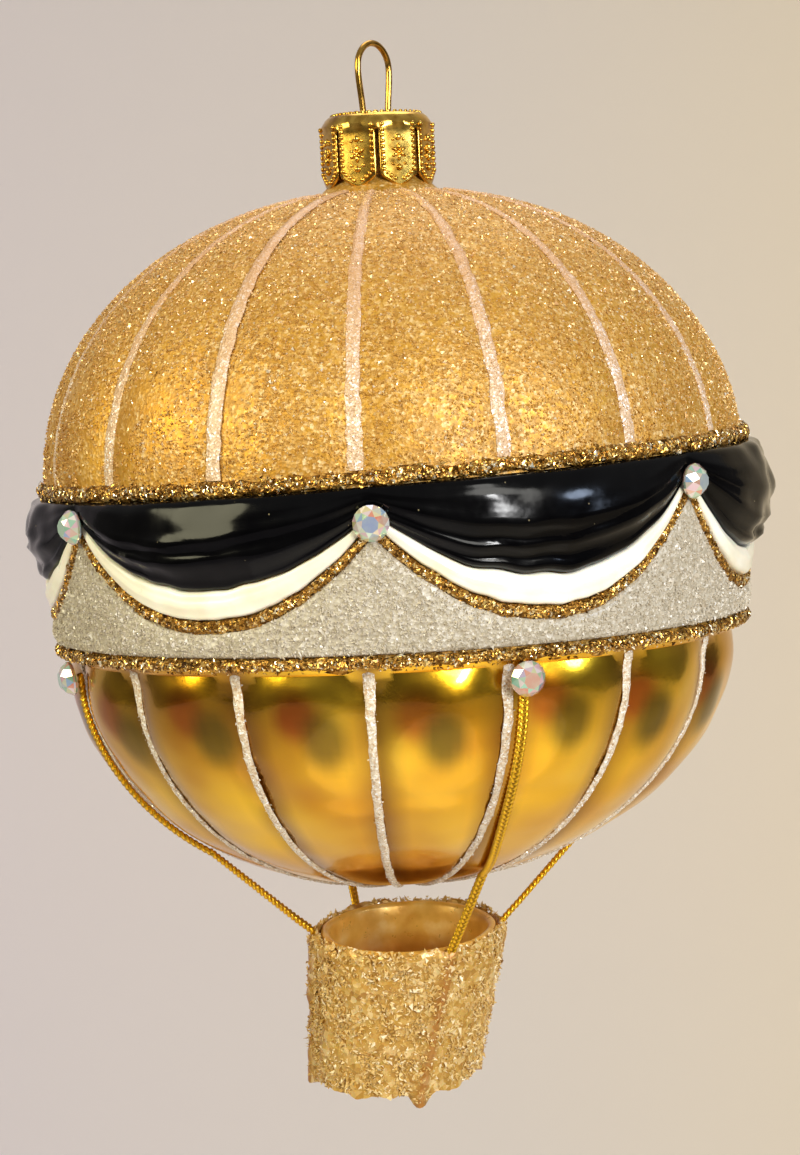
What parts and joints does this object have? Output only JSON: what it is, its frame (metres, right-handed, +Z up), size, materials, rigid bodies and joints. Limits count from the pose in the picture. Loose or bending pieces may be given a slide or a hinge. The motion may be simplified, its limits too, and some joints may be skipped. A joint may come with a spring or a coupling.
{
  "type": "hot air balloon christmas ornament",
  "caption": "Blown glass tree ornament shaped as a hot air balloon: gored gold globe with black and white swags, crystals, corded basket and a pull-out crown cap.",
  "frame": {"origin": "inner apex of the wire hanging loop, where a tree branch or hook carries the ornament", "axes": "+Z up along the balloon's axis, -Y towards the front, +X to the right as seen from the front"},
  "size_m": [0.1042, 0.1042, 0.1493],
  "materials": {
    "gold_glass": "silvered satin gold lacquer",
    "gold_glitter": "coarse metallic glitter",
    "black_enamel": "gloss enamel",
    "white_enamel": "satin enamel",
    "frosted_white": "sugar glitter",
    "crystal": "cut, foiled back",
    "brass": "polished",
    "gold_cord": "metallic braid",
    "basket_glass": "satin lacquer",
    "basket_glitter": "crushed glass coat"
  },
  "bodies": {
    "hanger": {"metal_cap": "brass", "wire_hanger": "brass"},
    "balloon": {"glass_envelope": "gold_glass", "upper_glitter_line": "gold_glitter", "lower_glitter_line": "gold_glitter", "glitter_festoons": "gold_glitter", "black_drape": "black_enamel", "white_drape": "white_enamel", "frosted_band": "frosted_white", "upper_stripes": "white_enamel", "lower_stripes": "white_enamel", "crystal_upper_1": "crystal", "crystal_upper_2": "crystal", "crystal_upper_3": "crystal", "crystal_upper_4": "crystal", "crystal_upper_5": "crystal", "crystal_upper_6": "crystal", "crystal_upper_7": "crystal", "crystal_lower_front": "crystal", "crystal_lower_right": "crystal", "crystal_lower_back": "crystal", "crystal_lower_left": "crystal", "basket_cup": "basket_glass", "basket_coat": "basket_glitter", "cord_front": "gold_cord", "cord_right": "gold_cord", "cord_back": "gold_cord", "cord_left": "gold_cord"}
  },
  "joints": [
    {"name": "neck_pull", "type": "slide", "parent": "hanger", "child": "balloon", "axis": [0, 0, -1], "range_m": [0, 0.019]}
  ]
}
